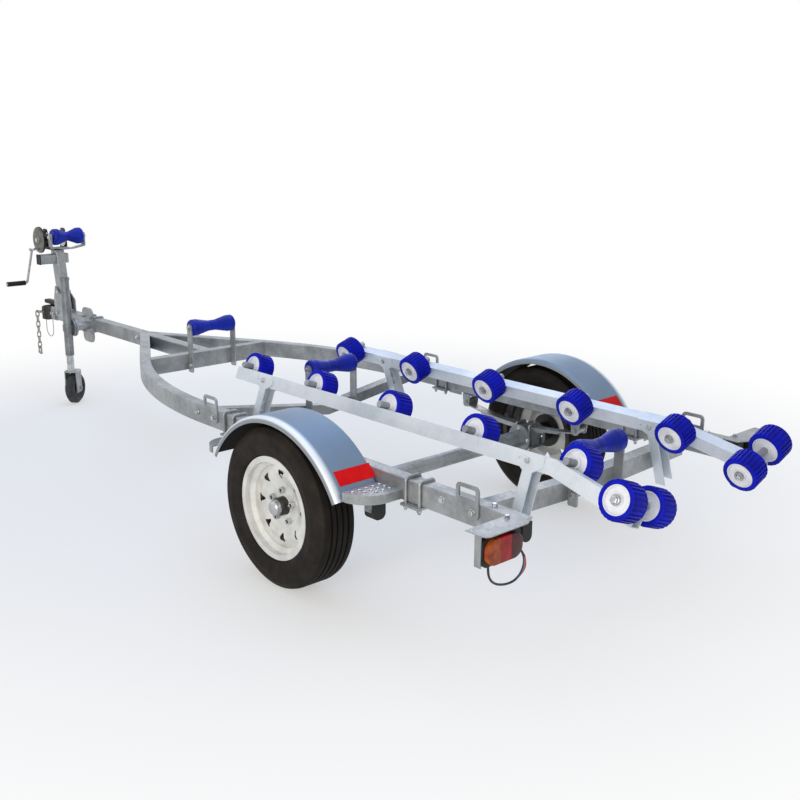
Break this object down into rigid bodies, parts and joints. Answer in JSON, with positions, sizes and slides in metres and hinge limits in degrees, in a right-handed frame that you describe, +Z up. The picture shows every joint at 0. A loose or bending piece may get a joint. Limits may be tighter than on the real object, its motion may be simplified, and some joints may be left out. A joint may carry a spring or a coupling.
{
  "type": "boat trailer",
  "caption": "Single-axle boat trailer: curved box-section frame, tilted bunks with wobble rollers, keel rollers, mudguards, winch post and swing-up jack.",
  "frame": {"origin": "on the ground, centre of the trailer's bounding box", "axes": "+X forward to the coupling, +Y to the left, +Z up"},
  "size_m": [4.613, 1.5486, 0.966],
  "materials": {
    "galvanised": "dull spangled zinc, warm grey on the sides",
    "bunk_galvanised": "pale weathered zinc",
    "bright_zinc": "bright zinc plate",
    "black_plastic": "satin moulded plastic",
    "red_lens": "clear red, ribbed",
    "grip_rubber": "dull black",
    "chain_steel": "worn zinc with rust specks",
    "black_paint": "satin black paint",
    "tyre_rubber": "dusty black rubber",
    "wheel_paint": "silver paint, slightly dusty",
    "hub_black": "black paint with grease marks",
    "cast_dark": "dark rough casting",
    "cable_black": "black cable sheath",
    "jack_rubber": "scuffed grey rubber",
    "wobble_blue": "bright ultramarine rubber, satin",
    "keel_blue": "bright blue rubber, satin"
  },
  "bodies": {
    "frame": {"drawbar": "galvanised", "side_rails": "galvanised", "cross_members": "galvanised", "bunks": "bunk_galvanised", "bunk_posts": "galvanised", "roller_axles": "galvanised", "keel_brackets": "galvanised", "axle_beam": "galvanised", "leaf_springs": "galvanised", "spring_fittings": "galvanised", "mudguards": "galvanised", "guard_brackets": "galvanised", "lamp_brackets": "galvanised", "lamp_cases": "black_plastic", "lamp_lenses": "red_lens", "tie_down_loops": "galvanised", "coupling_body": "cast_dark", "coupling_sleeve": "galvanised", "lamp_cable_left": "cable_black", "lamp_cable_right": "cable_black", "coupling_handle": "grip_rubber", "safety_chain": "chain_steel", "jack_clamp": "galvanised", "winch_post": "galvanised", "winch_frame": "black_paint", "bow_bracket": "galvanised"},
    "wheel_left": {"tyre_left": "tyre_rubber", "rim_left": "wheel_paint", "hub_left": "hub_black"},
    "wheel_right": {"tyre_right": "tyre_rubber", "rim_right": "wheel_paint", "hub_right": "hub_black"},
    "jack": {"jack_tube": "galvanised"},
    "jack_leg": {"jack_leg": "bright_zinc"},
    "jack_fork": {"jack_fork": "galvanised"},
    "jack_wheel": {"jack_wheel": "jack_rubber"},
    "winch_drum": {"winch_drum": "bright_zinc"},
    "winch_crank": {"winch_crank": "bright_zinc", "crank_grip": "grip_rubber"},
    "roller_left_1": {"roller_left_1": "wobble_blue"},
    "roller_left_2": {"roller_left_2": "wobble_blue"},
    "roller_left_3": {"roller_left_3": "wobble_blue"},
    "roller_left_4": {"roller_left_4": "wobble_blue"},
    "roller_left_5": {"roller_left_5": "wobble_blue"},
    "roller_pair_left": {"roller_pair_left": "wobble_blue"},
    "roller_right_1": {"roller_right_1": "wobble_blue"},
    "roller_right_2": {"roller_right_2": "wobble_blue"},
    "roller_right_3": {"roller_right_3": "wobble_blue"},
    "roller_right_4": {"roller_right_4": "wobble_blue"},
    "roller_right_5": {"roller_right_5": "wobble_blue"},
    "roller_pair_right": {"roller_pair_right": "wobble_blue"},
    "keel_roller_front": {"keel_roller_front": "keel_blue"},
    "keel_roller_middle": {"keel_roller_middle": "keel_blue"},
    "keel_roller_rear": {"keel_roller_rear": "keel_blue"},
    "bow_roller": {"bow_roller": "keel_blue"}
  },
  "joints": [
    {"name": "wheel_left_spin", "type": "hinge", "parent": "frame", "child": "wheel_left", "pos_m": [-1.0785, 0.681, 0.284], "axis": [0, 1, 0], "continuous": true},
    {"name": "wheel_right_spin", "type": "hinge", "parent": "frame", "child": "wheel_right", "pos_m": [-1.0785, -0.681, 0.284], "axis": [0, 1, 0], "continuous": true},
    {"name": "jack_swing", "type": "hinge", "parent": "frame", "child": "jack", "pos_m": [1.6815, 0.158, 0.44], "axis": [0, 1, 0], "range_deg": [0, 90]},
    {"name": "jack_slide", "type": "slide", "parent": "jack", "child": "jack_leg", "axis": [0, 0, 1], "range_m": [0, 0.08]},
    {"name": "jack_caster", "type": "hinge", "parent": "jack_leg", "child": "jack_fork", "pos_m": [1.6815, 0.158, 0.196], "axis": [0, 0, 1], "continuous": true},
    {"name": "jack_wheel_spin", "type": "hinge", "parent": "jack_fork", "child": "jack_wheel", "pos_m": [1.70353, 0.1308, 0.088], "axis": [-0.7771, -0.6293, 0], "continuous": true},
    {"name": "winch_drum_spin", "type": "hinge", "parent": "frame", "child": "winch_drum", "pos_m": [2.1155, 0, 0.89], "axis": [0, 1, 0], "continuous": true},
    {"name": "winch_crank_spin", "type": "hinge", "parent": "frame", "child": "winch_crank", "pos_m": [2.1175, 0.0973, 0.838], "axis": [0, 1, 0], "continuous": true},
    {"name": "roller_left_1_spin", "type": "hinge", "parent": "frame", "child": "roller_left_1", "pos_m": [-0.3015, 0.24774, 0.56351], "axis": [0, 0.9397, 0.342], "continuous": true},
    {"name": "roller_left_2_spin", "type": "hinge", "parent": "frame", "child": "roller_left_2", "pos_m": [-0.7225, 0.24774, 0.56351], "axis": [0, 0.9397, 0.342], "continuous": true},
    {"name": "roller_left_3_spin", "type": "hinge", "parent": "frame", "child": "roller_left_3", "pos_m": [-1.1435, 0.24774, 0.56351], "axis": [0, 0.9397, 0.342], "continuous": true},
    {"name": "roller_left_4_spin", "type": "hinge", "parent": "frame", "child": "roller_left_4", "pos_m": [-1.5645, 0.24774, 0.56351], "axis": [0, 0.9397, 0.342], "continuous": true},
    {"name": "roller_left_5_spin", "type": "hinge", "parent": "frame", "child": "roller_left_5", "pos_m": [-1.9855, 0.25055, 0.55579], "axis": [0, 0.9397, 0.342], "continuous": true},
    {"name": "roller_pair_left_spin", "type": "hinge", "parent": "frame", "child": "roller_pair_left", "pos_m": [-2.2465, 0.34821, 0.52721], "axis": [0, 0.9397, 0.342], "continuous": true},
    {"name": "roller_right_1_spin", "type": "hinge", "parent": "frame", "child": "roller_right_1", "pos_m": [-0.3015, -0.24774, 0.56351], "axis": [0, 0.9397, -0.342], "continuous": true},
    {"name": "roller_right_2_spin", "type": "hinge", "parent": "frame", "child": "roller_right_2", "pos_m": [-0.7225, -0.24774, 0.56351], "axis": [0, 0.9397, -0.342], "continuous": true},
    {"name": "roller_right_3_spin", "type": "hinge", "parent": "frame", "child": "roller_right_3", "pos_m": [-1.1435, -0.24774, 0.56351], "axis": [0, 0.9397, -0.342], "continuous": true},
    {"name": "roller_right_4_spin", "type": "hinge", "parent": "frame", "child": "roller_right_4", "pos_m": [-1.5645, -0.24774, 0.56351], "axis": [0, 0.9397, -0.342], "continuous": true},
    {"name": "roller_right_5_spin", "type": "hinge", "parent": "frame", "child": "roller_right_5", "pos_m": [-1.9855, -0.25055, 0.55579], "axis": [0, 0.9397, -0.342], "continuous": true},
    {"name": "roller_pair_right_spin", "type": "hinge", "parent": "frame", "child": "roller_pair_right", "pos_m": [-2.2465, -0.34821, 0.52721], "axis": [0, 0.9397, -0.342], "continuous": true},
    {"name": "keel_roller_front_spin", "type": "hinge", "parent": "frame", "child": "keel_roller_front", "pos_m": [0.4472, 0, 0.61], "axis": [0, 1, 0], "continuous": true},
    {"name": "keel_roller_middle_spin", "type": "hinge", "parent": "frame", "child": "keel_roller_middle", "pos_m": [-0.4728, 0, 0.566], "axis": [0, 1, 0], "continuous": true},
    {"name": "keel_roller_rear_spin", "type": "hinge", "parent": "frame", "child": "keel_roller_rear", "pos_m": [-1.8598, 0, 0.535], "axis": [0, 1, 0], "continuous": true},
    {"name": "bow_roller_spin", "type": "hinge", "parent": "frame", "child": "bow_roller", "pos_m": [1.9515, 0, 0.918], "axis": [0, 1, 0], "continuous": true}
  ],
  "couplings": [
    {"joint": "winch_crank_spin", "follows": "winch_drum_spin", "ratio": -4}
  ]
}
